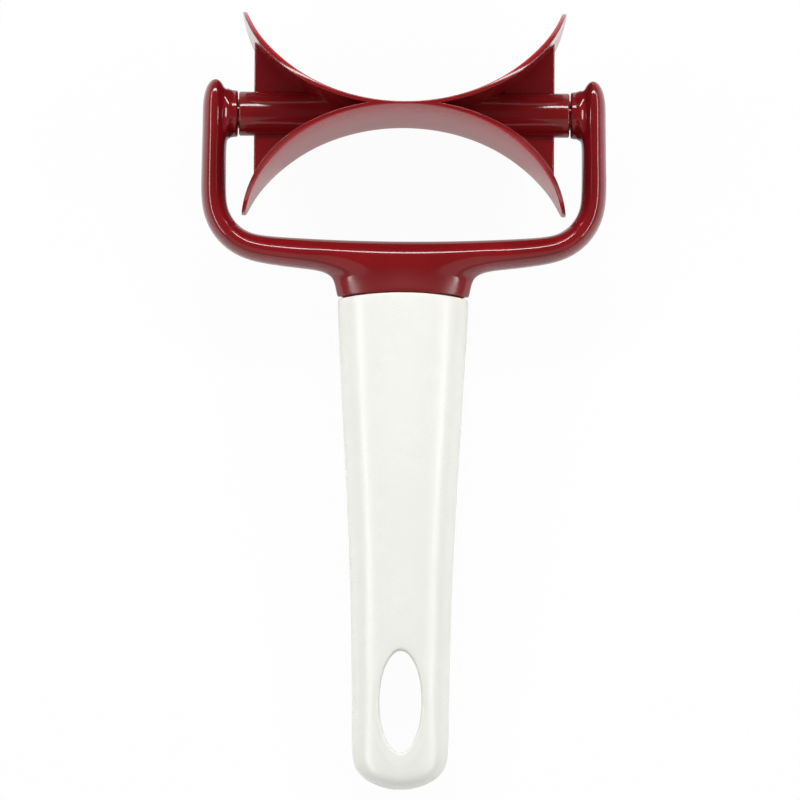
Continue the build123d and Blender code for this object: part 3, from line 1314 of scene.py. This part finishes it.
@dataclass
class PhotoCamera:
    """Camera at the photograph's viewing angle, far off and with a long lens.

    Attributes:
        aim: point of the tool in the middle of the picture, in metres.
        distance: from the camera to that point.
        lean: how far the view is off the vertical, towards the handle's end, in degrees.
        roll: turn of the picture about the view, in degrees.
        picture_width: width of the picture at the aim.
        sensor: sensor width in millimetres.
    """

    aim: tuple[float, float, float] = (-0.6 * MM, 0.3 * MM, 17.36 * MM)
    distance: float = 3.0
    lean: float = 8.4
    roll: float = 0.37
    picture_width: float = 200.0 * MM
    sensor: float = 36.0

    def build(self) -> bpy.types.Object:
        """Makes the camera and sets it as the scene's own."""
        lens = bpy.data.cameras.new("photo_camera")
        lens.sensor_width = self.sensor
        lens.lens = self.sensor * self.distance / self.picture_width
        lens.clip_start = self.distance / 100
        lens.clip_end = self.distance * 100
        camera = bpy.data.objects.new("photo_camera", lens)
        lean = math.radians(self.lean)
        back = Vector((0.0, -math.sin(lean), math.cos(lean)))
        camera.location = Vector(self.aim) + self.distance * back
        camera.rotation_mode = "QUATERNION"
        upright = (-back).to_track_quat("-Z", "Y")
        camera.rotation_quaternion = upright @ Quaternion((0.0, 0.0, 1.0), math.radians(self.roll))
        bpy.context.scene.collection.objects.link(camera)
        bpy.context.scene.camera = camera
        return camera


@dataclass(frozen=True)
class Softbox:
    """A rectangular studio lamp that faces the tool.

    Attributes:
        name: name of the lamp.
        place: where it stands, in metres.
        width: its size along its own X, in metres.
        height: its size along its own Y, in metres.
        power: in watts.
    """

    name: str
    place: tuple[float, float, float]
    width: float
    height: float
    power: float

    def build(self) -> bpy.types.Object:
        """Makes the lamp and turns it towards the middle of the tool."""
        lamp = bpy.data.lights.new(self.name, "AREA")
        lamp.shape = "RECTANGLE"
        lamp.size = self.width
        lamp.size_y = self.height
        lamp.energy = self.power
        softbox = bpy.data.objects.new(self.name, lamp)
        softbox.location = self.place
        softbox.rotation_mode = "QUATERNION"
        softbox.rotation_quaternion = (-Vector(self.place)).to_track_quat("-Z", "Y")
        bpy.context.scene.collection.objects.link(softbox)
        return softbox


@dataclass
class Studio:
    """White sweep with softboxes left, right and beyond the roller, and a lit card beyond the handle.

    Attributes:
        floor_half: half the width of the floor, in metres.
        floor_tone: colour of the floor.
        floor_white: how much of the floor is plain white to the camera, the rest being lit and shaded.
        floor_white_mirrored: the same for the floor that is seen in a gloss.
        air_low: level of the light from all round near the horizon.
        air_high: the same from straight above.
        softboxes: the lamps.
    """

    floor_half: float = 4.0
    floor_tone: float = 0.85
    floor_white: float = 0.96
    floor_white_mirrored: float = 0.38
    air_low: float = 0.33
    air_high: float = 0.075
    softboxes: tuple[Softbox, ...] = (
        Softbox("left_softbox", (-0.60, 0.0, 0.435), 1.0, 0.10, 2.6),
        Softbox("right_softbox", (0.60, 0.0, 0.435), 1.0, 0.10, 2.6),
        Softbox("far_softbox", (0.0, 0.52, 0.63), 0.8, 0.12, 4.2),
        Softbox("near_card", (0.0, -1.0, 0.9), 2.0, 1.2, 2.6),
    )

    def build(self) -> None:
        """Makes floor, lamps and surrounding light."""
        self.lay_floor()
        self.light_air()
        for softbox in self.softboxes:
            softbox.build()
        bpy.context.scene.view_settings.view_transform = "Standard"

    def lay_floor(self) -> None:
        """Makes the floor, which shows white and keeps the tool's shadow."""
        bpy.ops.mesh.primitive_plane_add(size=2 * self.floor_half)
        floor = bpy.context.object
        floor.name = "floor"
        material = bpy.data.materials.new("white_floor")
        material.use_nodes = True
        material.node_tree.nodes.clear()
        sketch = NodeSketch(material.node_tree)
        path = sketch.add("ShaderNodeLightPath").outputs
        mirrored = sketch.math("MULTIPLY", path["Is Glossy Ray"], self.floor_white_mirrored)
        white = sketch.math("MULTIPLY_ADD", path["Is Camera Ray"], self.floor_white, mirrored)
        tone = (self.floor_tone, self.floor_tone, self.floor_tone, 1.0)
        matt = sketch.add("ShaderNodeBsdfDiffuse", {"Color": tone})
        glow = sketch.add("ShaderNodeEmission")
        both = sketch.add("ShaderNodeMixShader", {"Fac": white, 1: matt.outputs[0], 2: glow.outputs[0]})
        sketch.add("ShaderNodeOutputMaterial", {"Surface": both.outputs[0]})
        floor.data.materials.append(material)

    def light_air(self) -> None:
        """Makes the light from all round, seen as white by the camera."""
        world = bpy.data.worlds.new("white_tent")
        bpy.context.scene.world = world
        world.use_nodes = True
        world.node_tree.nodes.clear()
        sketch = NodeSketch(world.node_tree)
        direction = sketch.add("ShaderNodeTexCoord").outputs["Generated"]
        height = sketch.add("ShaderNodeSeparateXYZ", {0: direction}).outputs["Z"]
        level = sketch.spread(height, (0.0, 1.0), (self.air_low, self.air_high))
        path = sketch.add("ShaderNodeLightPath").outputs
        strength = sketch.spread(path["Is Camera Ray"], (0.0, 1.0), (level, 1.0))
        white = (1.0, 1.0, 1.0, 1.0)
        air = sketch.add("ShaderNodeBackground", {"Color": white, "Strength": strength})
        sketch.add("ShaderNodeOutputWorld", {"Surface": air.outputs[0]})


def red_plastic(tool: ToolFrame) -> GlossPlastic:
    """Finish of the yoke and the pivots, duller on the neck where a thumb rests."""
    thumb_rest = Vector((0.0, -44.0, 8.0))
    thumb_wear = SpotWear(
        colour=HANDLED_RED,
        roughness=0.30,
        raggedness=0.1,
        spot=tool.matrix() @ thumb_rest,
        follows=(0.3, 1.0, 1.0),
        near=3.0 * MM,
        far=8.5 * MM,
    )
    return GlossPlastic(
        "red_plastic", RED, DEEP_RED, glossiest=0.07, dullest=0.11, wear_and_glow=thumb_wear, refraction=STYRENE)


def red_cutter_plastic(tool: ToolFrame) -> GlossPlastic:
    """Finish of the roller, with painted light inside the troughs: a lighter red there, and a duller gloss.
    """
    # Painted light: a lighter red, with a duller gloss, on the troughs' dough side.
    trough_painted_glow = TroughPaintedGlow(
        colour=PAINTED_GLOW_RED,
        roughness=0.21,
        raggedness=0.3,
        axle=tool.axle,
        outward=Matrix.Rotation(math.radians(CutterRoller.turn), 3, "X") @ tool.along(),
        centre=CutterRoller.trough_centre * MM,
        half_width=41.2 * MM,
        half_height=32.1 * MM,
        fade=0.6 * MM,
    )
    gloss = {"glossiest": 0.10, "dullest": 0.16, "refraction": STYRENE}
    return GlossPlastic("red_cutter_plastic", RED, DEEP_RED, wear_and_glow=trough_painted_glow, **gloss)


def white_plastic(tool: ToolFrame) -> GlossPlastic:
    """Finish of the handle, duller round the hole where a hook rubs."""
    hook_wear = SpotWear(
        colour=DEEP_IVORY,
        roughness=0.35,
        raggedness=0.2,
        spot=tool.matrix() @ Vector((0.0, HandleSleeve.hole_middle, 0.0)),
        follows=(1.0, 0.45, 0.0),
        near=5.2 * MM,
        far=9.0 * MM,
    )
    return GlossPlastic(
        "white_plastic", IVORY, DEEP_IVORY, glossiest=0.25, dullest=0.31, wear_and_glow=hook_wear, peel=0.002 * MM)


def hand_over(piece: bpy.types.Object, tool: ToolFrame, node: str, finish: bpy.types.Material) -> None:
    """Puts a finished piece in its place, dresses it and lets it stand for its CAD node.

    Args:
        piece: the mesh object in the tool's frame.
        tool: the tool's frame.
        node: the CAD node that it stands for.
        finish: its material.
    """
    select_only(piece)
    piece.matrix_world = tool.matrix()
    bpy.ops.object.transform_apply(location=True, rotation=True, scale=True)
    bpy.ops.object.shade_smooth_by_angle(angle=SMOOTH_BELOW)
    piece.data.materials.clear()
    piece.data.materials.append(finish)
    record = frame["record"]
    body = next(name for name, nodes in record["behaviour"]["bodies"].items() if node in nodes)
    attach(piece, body)
    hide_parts(node)
    LOG.info("built %s with %d faces", piece.name, len(piece.data.polygons))


def main() -> None:
    """Builds the studio and the tool's pieces in order."""
    logging.basicConfig(level=logging.INFO)
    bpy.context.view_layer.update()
    tool = ToolFrame.from_record(frame["record"])
    Studio().build()
    PhotoCamera().build()
    effects = PlasticEffects()
    red = red_plastic(tool).build(effects)
    white = white_plastic(tool).build(effects)
    finishes = {"red_plastic": red, "white_plastic": white}
    for part in frame["record"]["subparts"]:
        node = frame["nodes"][part["node"]]
        node.data.materials.clear()
        node.data.materials.append(finishes[part["material_slot"]])
    hand_over(CutterRoller().build(), tool, "cutter_roller", red_cutter_plastic(tool).build(effects))
    hand_over(Yoke().build(), tool, "yoke", red)
    hand_over(HandleSleeve().build(), tool, "handle_sleeve", white)


if __name__ == "__main__":
    main()
